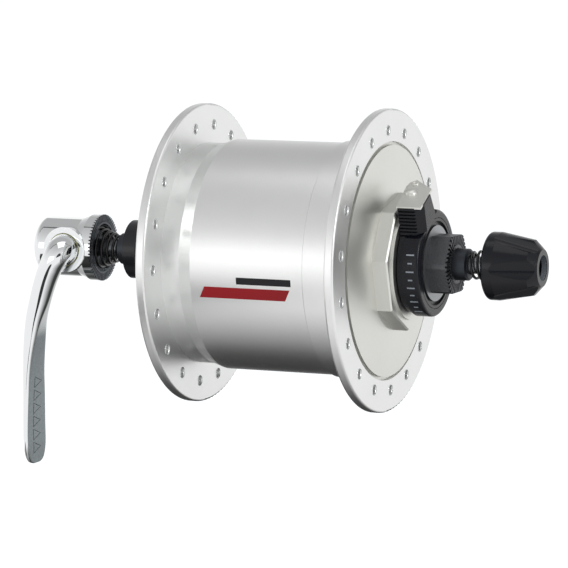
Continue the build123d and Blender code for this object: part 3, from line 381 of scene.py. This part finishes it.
slots = {
    "satin_shell": satin_anodised_aluminium, "satin_cover": satin_cover_aluminium,
    "axle_steel": black_oxide_steel, "bearing_steel": ground_bearing_steel,
    "dark_nut": phosphated_steel, "black_nut": black_painted_steel,
    "washer_steel": zinc_plated_steel, "connector_plastic": moulded_black_nylon,
    "knob_plastic": moulded_black_plastic, "contact_metal": tinned_brass,
    "chrome": chrome_plate, "rod_steel": drawn_steel, "spring_black": black_coated_wire,
    "bush_nylon": natural_nylon, "seal_rubber": seal_rubber, "core_iron": pressed_pole_iron,
    "magnet": sintered_ferrite, "bobbin_plastic": bobbin_nylon, "copper": enamelled_copper,
    "lead_cover": red_lead_cover,
}
for subpart in frame["record"]["subparts"]:
    mesh = frame["nodes"][subpart["node"]].data
    mesh.materials.clear()
    mesh.materials.append(slots[subpart["material_slot"]])
frame["nodes"]["cam_housing"].data.materials[0] = chrome_with_toothed_face


# ---------------------------------------------------------------- helpers for pieces

def new_tree(name, sizes):
    """A geometry tree with a named input of each kind in sizes, and its group input and output."""
    tree = bpy.data.node_groups.new(name, "GeometryNodeTree")
    tree.interface.new_socket("Geometry", in_out="OUTPUT", socket_type="NodeSocketGeometry")
    for label, kind in sizes.items():
        tree.interface.new_socket(label, in_out="INPUT", socket_type="NodeSocket" + kind)
    return tree, add_node(tree, "NodeGroupInput"), add_node(tree, "NodeGroupOutput")


def finish_tree(tree, group_out, geometry, material):
    """Ends a tree in Realize Instances and Set Material."""
    real = add_node(tree, "GeometryNodeRealizeInstances", {"Geometry": geometry})
    painted = add_node(tree, "GeometryNodeSetMaterial", {
        "Geometry": real.outputs[0], "Material": material})
    tree.links.new(painted.outputs[0], group_out.inputs[0])


def mesh_from(shape, material):
    """Ends a bmesh as a mesh of one material, which piece_from names."""
    mesh = bpy.data.meshes.new("piece")
    shape.to_mesh(mesh)
    shape.free()
    mesh.materials.append(material)
    return mesh


def join_rings(shape, rings, closed=False):
    """Joins each ring to the next, then closes the row on itself or caps both of its ends."""
    following = rings[1:] + rings[:1] if closed else rings[1:]
    for first, second in zip(rings, following):
        for number in range(len(first)):
            after = (number + 1) % len(first)
            shape.faces.new((first[number], first[after], second[after], second[number]))
    if not closed:
        shape.faces.new(rings[0])
        shape.faces.new(rings[-1])


def piece_from(name, mesh, body, nodes=(), sharp_deg=35):
    """Makes mesh a finished piece that rides on body."""
    mesh.name = name
    shape = bmesh.new()
    shape.from_mesh(mesh)
    bmesh.ops.remove_doubles(shape, verts=shape.verts, dist=MERGE)
    bmesh.ops.recalc_face_normals(shape, faces=shape.faces)
    shape.to_mesh(mesh)
    shape.free()
    mesh.shade_smooth()
    mesh.set_sharp_from_angle(angle=math.radians(sharp_deg))
    piece = bpy.data.objects.new(name, mesh)
    scene.collection.objects.link(piece)
    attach(piece, body)
    if nodes:
        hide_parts(*nodes)
    return piece


def piece_from_tree(name, tree, values, body, nodes=()):
    """Runs a geometry tree with these input values and keeps its plain mesh as a piece."""
    maker = bpy.data.objects.new(name + "_maker", bpy.data.meshes.new(name + "_maker"))
    scene.collection.objects.link(maker)
    modifier = maker.modifiers.new("tree", "NODES")
    modifier.node_group = tree
    for item in tree.interface.items_tree:
        if item.in_out == "INPUT":
            modifier[item.identifier] = values[item.name]
    graph = bpy.context.evaluated_depsgraph_get()
    mesh = bpy.data.meshes.new_from_object(maker.evaluated_get(graph))
    maker.modifiers.remove(modifier)
    bpy.data.objects.remove(maker)
    return piece_from(name, mesh, body, nodes)


# ---------------------------------------------------------------- conical springs

WIRE_RADIUS = 0.4 * MM

spring_tree, spring_in, spring_out = new_tree("conical_spring", {
    "Wire radius": "Float", "First radius": "Float", "Last radius": "Float", "Turns": "Float",
    "Start": "Float", "Length": "Float", "Points per turn": "Int",
})
turns_line = add_node(spring_tree, "GeometryNodeCurveSpiral", {
    "Resolution": spring_in.outputs["Points per turn"], "Rotations": spring_in.outputs["Turns"],
    "Start Radius": spring_in.outputs["First radius"], "End Radius": spring_in.outputs["Last radius"],
    "Height": spring_in.outputs["Length"]})
start_place = add_node(spring_tree, "ShaderNodeCombineXYZ", {"Y": spring_in.outputs["Start"]})
laid_down = add_node(spring_tree, "GeometryNodeTransform", {
    "Geometry": turns_line.outputs[0], "Translation": start_place.outputs[0],
    "Rotation": (-math.pi / 2, 0, 0)})
wire_ring = add_node(spring_tree, "GeometryNodeCurvePrimitiveCircle", {
    "Resolution": 14, "Radius": spring_in.outputs["Wire radius"]}, mode="RADIUS")
wire = add_node(spring_tree, "GeometryNodeCurveToMesh", {
    "Curve": laid_down.outputs[0], "Profile Curve": wire_ring.outputs[0], "Fill Caps": True})
finish_tree(spring_tree, spring_out, wire.outputs[0], black_coated_wire)


def spring(name, first_radius, last_radius, turns, outward):
    """Fits a conical spring between the ends of the CAD node of this name.

    It starts at its -Y end where outward is 1, and at its +Y end where outward is -1.
    """
    low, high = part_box(name)
    piece_from_tree(name + "_coil", spring_tree, {
        "Wire radius": WIRE_RADIUS, "First radius": first_radius, "Last radius": last_radius,
        "Turns": turns, "Start": low.y + WIRE_RADIUS if outward > 0 else high.y - WIRE_RADIUS,
        "Length": (high.y - low.y - 2 * WIRE_RADIUS) * outward, "Points per turn": 80},
        name, (name,))


spring("lever_side_spring", 3.4 * MM, 6.1 * MM, 4.5, 1)
spring("nut_side_spring", 3.5 * MM, 4.7 * MM, 4.0, -1)


# ---------------------------------------------------------------- printed marks on the barrel

BARREL_RADIUS = 33.0 * MM
# Half the thickness of the print, which goes as far into the barrel as it stands out.
PRINT_LIFT = 0.03 * MM
PRINT_COLUMNS, PRINT_ROWS = 24, 6


def barrel_print(name, ink, y_from, y_to, low_deg, high_deg, slant):
    """A thin print that lies on the barrel, between two angles about the axle."""
    shape = bmesh.new()
    layers = []
    for level in (BARREL_RADIUS - PRINT_LIFT, BARREL_RADIUS + PRINT_LIFT):
        grid = []
        for row in range(PRINT_ROWS + 1):
            angle = math.radians(low_deg + (high_deg - low_deg) * row / PRINT_ROWS)
            line = []
            for column in range(PRINT_COLUMNS + 1):
                y = y_from + (y_to - y_from) * column / PRINT_COLUMNS + slant * row / PRINT_ROWS
                line.append(shape.verts.new((level * math.cos(angle), y, level * math.sin(angle))))
            grid.append(line)
        layers.append(grid)
    for grid in layers:
        for row in range(PRINT_ROWS):
            for column in range(PRINT_COLUMNS):
                shape.faces.new((grid[row][column], grid[row][column + 1],
                                 grid[row + 1][column + 1], grid[row + 1][column]))
    edge = [(0, column) for column in range(PRINT_COLUMNS)]
    edge += [(row, PRINT_COLUMNS) for row in range(PRINT_ROWS)]
    edge += [(PRINT_ROWS, column) for column in range(PRINT_COLUMNS, 0, -1)]
    edge += [(row, 0) for row in range(PRINT_ROWS, 0, -1)]
    inner, outer = ([grid[row][column] for row, column in edge] for grid in layers)
    for number in range(len(edge)):
        after = (number + 1) % len(edge)
        shape.faces.new((inner[number], inner[after], outer[after], outer[number]))
    piece_from(name, mesh_from(shape, ink), "shell")


barrel_print("barrel_black_bar", black_ink, -13.0 * MM, 3.4 * MM, -175.4, -172.0, 0)
barrel_print("barrel_red_bar", red_ink, -12.6 * MM, 13.2 * MM, -170.2, -164.6, 1.6 * MM)


# ---------------------------------------------------------------- bright rims of the spoke holes

rim_tree, rim_in, rim_out = new_tree("spoke_hole_rims", {
    "Holes": "Int", "Circle radius": "Float", "Hole radius": "Float", "Rim": "Float",
    "Place": "Float", "Start angle": "Float",
})
hole_circle = add_node(rim_tree, "GeometryNodeMeshCircle", {
    "Vertices": rim_in.outputs["Holes"], "Radius": rim_in.outputs["Circle radius"]})
rim_line = add_node(rim_tree, "GeometryNodeCurvePrimitiveCircle", {
    "Resolution": 28, "Radius": rim_in.outputs["Hole radius"]}, mode="RADIUS")
rim_section = add_node(rim_tree, "GeometryNodeCurvePrimitiveCircle", {
    "Resolution": 8, "Radius": rim_in.outputs["Rim"]}, mode="RADIUS")
rim_ring = add_node(rim_tree, "GeometryNodeCurveToMesh", {
    "Curve": rim_line.outputs[0], "Profile Curve": rim_section.outputs[0]})
rims = add_node(rim_tree, "GeometryNodeInstanceOnPoints", {
    "Points": hole_circle.outputs[0], "Instance": rim_ring.outputs[0]})
rim_turn = add_node(rim_tree, "ShaderNodeCombineXYZ", {"X": math.pi / 2, "Y": rim_in.outputs["Start angle"]})
rim_place = add_node(rim_tree, "ShaderNodeCombineXYZ", {"Y": rim_in.outputs["Place"]})
rims_set = add_node(rim_tree, "GeometryNodeTransform", {
    "Geometry": rims.outputs[0], "Translation": rim_place.outputs[0], "Rotation": rim_turn.outputs[0]})
finish_tree(rim_tree, rim_out, rims_set.outputs[0], bright_cut_aluminium)
# Each set has its place along the axle in millimetres and the angle of its first hole in degrees.
for rim_name, rim_y, rim_deg in (
    ("wire_side_outer_rims", -29.6, 92), ("wire_side_inner_rims", -26.8, 92),
    ("lever_side_outer_rims", 29.6, 102), ("lever_side_inner_rims", 26.8, 102),
):
    piece_from_tree(rim_name, rim_tree, {
        "Holes": 18, "Circle radius": 37 * MM, "Hole radius": 1.52 * MM, "Rim": 0.10 * MM,
        "Place": rim_y * MM, "Start angle": -math.radians(rim_deg)}, "shell")


# ---------------------------------------------------------------- ticks round the connector

tick_tree, tick_in, tick_out = new_tree("connector_ticks", {
    "Ticks": "Int", "Radius": "Float", "Place": "Float", "First angle": "Float", "Sweep": "Float",
    "Thickness": "Float", "Length": "Float", "Width": "Float", "Short share": "Float",
})
tick_arc = add_node(tick_tree, "GeometryNodeCurveArc", {
    "Resolution": tick_in.outputs["Ticks"], "Radius": tick_in.outputs["Radius"],
    "Start Angle": tick_in.outputs["First angle"], "Sweep Angle": tick_in.outputs["Sweep"]})
tick_points = add_node(tick_tree, "GeometryNodeCurveToPoints", {
    "Curve": tick_arc.outputs[0]}, mode="EVALUATED")
tick_size = add_node(tick_tree, "ShaderNodeCombineXYZ", {
    "X": tick_in.outputs["Thickness"], "Y": tick_in.outputs["Length"], "Z": tick_in.outputs["Width"]})
tick_bar = add_node(tick_tree, "GeometryNodeMeshCube", {"Size": tick_size.outputs[0]})
# Every second tick is short.
tick_number = add_node(tick_tree, "GeometryNodeInputIndex")
tick_odd = add_node(tick_tree, "ShaderNodeMath", {0: tick_number.outputs[0], 1: 2.0}, operation="MODULO")
tick_long = add_node(tick_tree, "ShaderNodeMapRange", {
    "Value": tick_odd.outputs[0], "To Min": 1.0, "To Max": tick_in.outputs["Short share"]})
tick_scale = add_node(tick_tree, "ShaderNodeCombineXYZ", {"X": 1.0, "Y": tick_long.outputs[0], "Z": 1.0})
ticks = add_node(tick_tree, "GeometryNodeInstanceOnPoints", {
    "Points": tick_points.outputs[0], "Instance": tick_bar.outputs[0],
    "Rotation": tick_points.outputs["Rotation"], "Scale": tick_scale.outputs[0]})
tick_place = add_node(tick_tree, "ShaderNodeCombineXYZ", {"Y": tick_in.outputs["Place"]})
ticks_set = add_node(tick_tree, "GeometryNodeTransform", {
    "Geometry": ticks.outputs[0], "Translation": tick_place.outputs[0], "Rotation": (math.pi / 2, 0, 0)})
finish_tree(tick_tree, tick_out, ticks_set.outputs[0], pale_ink)
piece_from_tree("connector_ticks", tick_tree, {
    "Ticks": 9, "Radius": 15.1 * MM, "Place": -41.4 * MM, "First angle": math.radians(166),
    "Sweep": math.radians(72), "Thickness": 0.16 * MM, "Length": 2.3 * MM, "Width": 0.40 * MM,
    "Short share": 0.55}, "axle")


# ---------------------------------------------------------------- cam lever

# Rows down the lever: middle of the section, its half widths towards and away from the housing, its
# front and back rise, and the radius of its long edges, in millimetres.
LEVER_ROWS = [
    ((-10.2, 68.0, 0.0), 3.9, 4.3, 4.3, 4.3, 3.9),
    ((-11.4, 68.0, -0.02), 3.7, 4.3, 4.2, 4.2, 3.7),
    ((-12.7, 68.2, -0.5), 3.2, 4.2, 4.0, 4.0, 3.4),
    ((-13.5, 68.8, -1.9), 2.9, 4.1, 3.7, 3.8, 3.2),
    ((-13.7, 70.0, -4.3), 3.0, 3.8, 3.4, 3.6, 3.0),
    ((-13.4, 71.8, -8.2), 3.1, 3.4, 3.2, 3.5, 2.8),
    ((-12.5, 74.0, -14.2), 3.1, 3.1, 2.8, 3.5, 2.4),
    ((-11.1, 75.7, -21.0), 3.7, 3.7, 1.6, 3.9, 1.6),
    ((-9.7, 76.9, -28.5), 4.6, 4.6, 0.7, 3.9, 1.0),
    ((-8.5, 77.9, -36.5), 5.3, 5.3, 0.25, 3.3, 0.8),
    ((-7.6, 78.4, -44.5), 5.9, 5.9, 0.10, 2.85, 0.75),
    ((-7.4, 78.6, -52.5), 6.2, 6.2, 0.08, 2.6, 0.7),
    ((-7.4, 78.55, -58.0), 6.2, 6.2, 0.08, 2.5, 0.65),
    ((-7.4, 78.5, -61.2), 5.4, 5.4, 0.06, 2.2, 0.6),
    ((-7.4, 78.45, -62.9), 4.0, 4.0, 0.04, 1.7, 0.5),
    ((-7.4, 78.4, -63.6), 2.0, 2.0, 0.02, 1.0, 0.4),
]
LEVER_STEPS = 150
# Steps round a section: the flat of its front, the quarter turn of a long edge and half of its back.
CROWN_STEPS, EDGE_STEPS, BACK_STEPS = 4, 7, 12
# The lever leaves its shaft this way.
LEVER_START = Vector((-1, 0, 0))
# With less than this of its unit direction across X, the lever still runs along its shaft.
ALONG_SHAFT = 0.05
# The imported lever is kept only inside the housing, where its X and Z are above these.
ARM_X, ARM_Z = -10.19 * MM, -7 * MM


def smooth_row(rows, spot):
    """The lever's row at a spot between two rows, on a smooth curve through all of them."""
    number = min(int(spot), len(rows) - 2)
    share = spot - number
    picked = [rows[max(min(number + step, len(rows) - 1), 0)] for step in (-1, 0, 1, 2)]
    flat = [(*row[0], *row[1:]) for row in picked]
    mixed = []
    for p0, p1, p2, p3 in zip(*flat):
        mixed.append(0.5 * (2 * p1 + (p2 - p0) * share + (2 * p0 - 5 * p1 + 4 * p2 - p3) * share ** 2
                            + (3 * p1 - p0 - 3 * p2 + p3) * share ** 3))
    return Vector(mixed[:3]), mixed[3:]


def lever_section(middle, direction, sizes):
    """Points round one section: a flat or round front, rounded long edges and a round back."""
    inner, outer, front, back_rise, corner = sizes
    facing = Vector((0, direction.z, -direction.y))
    if facing.length < ALONG_SHAFT:
        facing = Vector((0, -1, 0))
    facing.normalize()
    across_arm = facing.cross(direction).normalized()
    facing = direction.cross(across_arm).normalized()
    corner = min(corner, inner, outer, front + back_rise)
    seat = front - corner
    halves = []
    for side, half in ((1, inner), (-1, outer)):
        crown = [((half - corner) * step / CROWN_STEPS, front) for step in range(1, CROWN_STEPS)]
        arc = [(half - corner + corner * math.cos(turn), seat + corner * math.sin(turn))
               for turn in (math.radians(90 * step / EDGE_STEPS) for step in range(EDGE_STEPS + 1))]
        under = [(half * math.cos(turn), seat - (back_rise + seat) * math.sin(turn))
                 for turn in (math.radians(90 * step / BACK_STEPS) for step in range(1, BACK_STEPS))]
        halves.append([(side * wide, lift) for wide, lift in crown + arc[::-1] + under])
    loop = [(0, front)] + halves[0] + [(0, -back_rise)] + halves[1][::-1]
    return [(middle + across_arm * wide + facing * lift) * MM for wide, lift in loop]


smooth_rows = [
    smooth_row(LEVER_ROWS, (len(LEVER_ROWS) - 1) * step / LEVER_STEPS) for step in range(LEVER_STEPS + 1)]
lever_shape = bmesh.new()
lever_rings = []
for number, (middle, sizes) in enumerate(smooth_rows):
    before = smooth_rows[max(number - 1, 0)][0]
    after = smooth_rows[min(number + 1, LEVER_STEPS)][0]
    direction = (after - before).normalized() if number else LEVER_START
    lever_rings.append([lever_shape.verts.new(point) for point in lever_section(middle, direction, sizes)])
join_rings(lever_shape, lever_rings)

# The shaft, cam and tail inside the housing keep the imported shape.
inside = bmesh.new()
inside.from_mesh(frame["nodes"]["cam_lever"].data)
bmesh.ops.remove_doubles(inside, verts=inside.verts, dist=MERGE)
outside = [face for face in inside.faces
           if face.calc_center_median().x < ARM_X or face.calc_center_median().z < ARM_Z]
bmesh.ops.delete(inside, geom=outside, context="FACES")
bmesh.ops.holes_fill(inside, edges=[edge for edge in inside.edges if edge.is_boundary], sides=0)
inside_mesh = bpy.data.meshes.new("lever_inside")
inside.to_mesh(inside_mesh)
inside.free()
lever_shape.from_mesh(inside_mesh)
chrome_lever = piece_from(
    "chrome_lever", mesh_from(lever_shape, chrome_with_satin_face), "cam_lever",
    ["cam_lever"], sharp_deg=50)


# ---------------------------------------------------------------- engraved marks on the lever

# The marks start on this plane, in front of the lever's face, and are cast onto it along +Y, at most
# this far.
CAST_FROM, CAST_LENGTH = 0.06, 0.05
# Each mark is drawn out across the lever and pressed flat.
MARK_STRETCH = (1.6, 1.0, 0.5)

mark_tree, mark_in, mark_out = new_tree("lever_marks", {
    "Marks": "Int", "First": "Vector", "Step": "Vector", "Inner radius": "Float",
    "Outer radius": "Float", "Line radius": "Float", "Lever": "Object",
})
mark_row = add_node(mark_tree, "GeometryNodeMeshLine", {
    "Count": mark_in.outputs["Marks"], "Start Location": mark_in.outputs["First"],
    "Offset": mark_in.outputs["Step"]})
mark_shape = add_node(mark_tree, "GeometryNodeCurveStar", {
    "Points": 3, "Inner Radius": mark_in.outputs["Inner radius"],
    "Outer Radius": mark_in.outputs["Outer radius"]})
mark_section = add_node(mark_tree, "GeometryNodeCurvePrimitiveCircle", {
    "Resolution": 8, "Radius": mark_in.outputs["Line radius"]}, mode="RADIUS")
mark_wire = add_node(mark_tree, "GeometryNodeCurveToMesh", {
    "Curve": mark_shape.outputs[0], "Profile Curve": mark_section.outputs[0]})
mark_copies = add_node(mark_tree, "GeometryNodeInstanceOnPoints", {
    "Points": mark_row.outputs[0], "Instance": mark_wire.outputs[0], "Rotation": (math.pi / 2, 0, 0),
    "Scale": MARK_STRETCH})
mark_real = add_node(mark_tree, "GeometryNodeRealizeInstances", {"Geometry": mark_copies.outputs[0]})
mark_lever = add_node(mark_tree, "GeometryNodeObjectInfo", {
    "Object": mark_in.outputs["Lever"]}, transform_space="ORIGINAL")
mark_spot = add_node(mark_tree, "GeometryNodeInputPosition")
mark_split = add_node(mark_tree, "ShaderNodeSeparateXYZ", {0: mark_spot.outputs[0]})
mark_from = add_node(mark_tree, "ShaderNodeCombineXYZ", {
    "X": mark_split.outputs["X"], "Y": CAST_FROM, "Z": mark_split.outputs["Z"]})
mark_hit = add_node(mark_tree, "GeometryNodeRaycast", {
    "Target Geometry": mark_lever.outputs["Geometry"], "Source Position": mark_from.outputs[0],
    "Ray Direction": (0, 1, 0), "Ray Length": CAST_LENGTH})
hit_split = add_node(mark_tree, "ShaderNodeSeparateXYZ", {0: mark_hit.outputs["Hit Position"]})
hit_lift = add_node(mark_tree, "ShaderNodeMath", {
    0: hit_split.outputs["Y"], 1: CAST_FROM}, operation="SUBTRACT")
hit_move = add_node(mark_tree, "ShaderNodeCombineXYZ", {"Y": hit_lift.outputs[0]})
mark_laid = add_node(mark_tree, "GeometryNodeSetPosition", {
    "Geometry": mark_real.outputs[0], "Selection": mark_hit.outputs["Is Hit"], "Offset": hit_move.outputs[0]})
finish_tree(mark_tree, mark_out, mark_laid.outputs[0], engraved_line)
piece_from_tree("lever_marks", mark_tree, {
    "Marks": 6, "First": (-8.0 * MM, CAST_FROM, -39.5 * MM), "Step": (0, 0, -3.9 * MM),
    "Inner radius": 0.9 * MM, "Outer radius": 1.9 * MM, "Line radius": 0.11 * MM,
    "Lever": chrome_lever}, "cam_lever")


# ---------------------------------------------------------------- silver plate on top of the cap

# The cap's own directions: the way that it pulls off, and across that.
OUT = Vector((-0.453990, 0, 0.891007))
ASIDE = Vector((0.891007, 0, 0.453990))
# Heights in millimetres: under and over the plate, and the foot of its bosses.
PLATE_LOW, PLATE_HIGH, BOSS_FOOT = 20.9, 21.45, 21.4
# The plate's corners, aside and along Y, in millimetres.
PLATE_OUTLINE = [(-5.0, -36.95), (6.0, -36.3), (8.2, -36.8), (9.6, -38.4), (5.2, -44.2), (-5.0, -44.2)]
# The plate's top is this share of its foot's breadth, and set back this far where Y is under END_FROM.
PLATE_TAPER, PLATE_SETBACK, END_FROM = 0.97, 0.1, -40
BOSS_SIDES = 28


def cap_spot(aside, along, out):
    """A place from the cap's own directions, in millimetres."""
    return (ASIDE * aside + Vector((0, along, 0)) + OUT * out) * MM


def turned_boss(shape, aside, along, profile):
    """Adds a round boss on the plate from (radius, rise) pairs."""
    rings = []
    for radius, lift in profile:
        angles = [math.tau * step / BOSS_SIDES for step in range(BOSS_SIDES)]
        rings.append([shape.verts.new(cap_spot(
            aside + radius * math.cos(angle), along + radius * math.sin(angle), BOSS_FOOT + lift))
            for angle in angles])
    join_rings(shape, rings)


plate = bmesh.new()
plate_foot = [plate.verts.new(cap_spot(aside, along, PLATE_LOW)) for aside, along in PLATE_OUTLINE]
plate_top = [
    plate.verts.new(cap_spot(
        aside * PLATE_TAPER, along + (PLATE_SETBACK if along < END_FROM else 0), PLATE_HIGH))
    for aside, along in PLATE_OUTLINE]
join_rings(plate, [plate_foot, plate_top])
turned_boss(plate, 2.4, -38.9, [(1.75, 0), (1.7, 0.35), (1.45, 0.75), (1.0, 1.0), (0.5, 1.08)])
turned_boss(plate, 7.4, -38.5, [(1.1, 0), (1.1, 0.25), (0.95, 0.35), (0.7, 0.35), (0.6, 0.1)])
piece_from("cap_plate", mesh_from(plate, satin_cover_aluminium), "connector_cap")


# ---------------------------------------------------------------- worn rim round the knob's hole

# The rim's section as (radius, y) pairs in millimetres, turned about the axle.
RIM_SECTION = [(3.58, -73.6), (3.58, -75.0), (3.8, -75.19), (4.9, -75.19), (5.15, -75.1), (5.0, -74.6)]
RIM_SIDES = 72

rim = bmesh.new()
rim_angles = [math.tau * step / RIM_SIDES for step in range(RIM_SIDES)]
join_rings(rim, [
    [rim.verts.new((radius * MM * math.cos(angle), y * MM, radius * MM * math.sin(angle)))
     for angle in rim_angles]
    for radius, y in RIM_SECTION], closed=True)
piece_from("knob_hole_rim", mesh_from(rim, worn_plastic_edge), "knob")
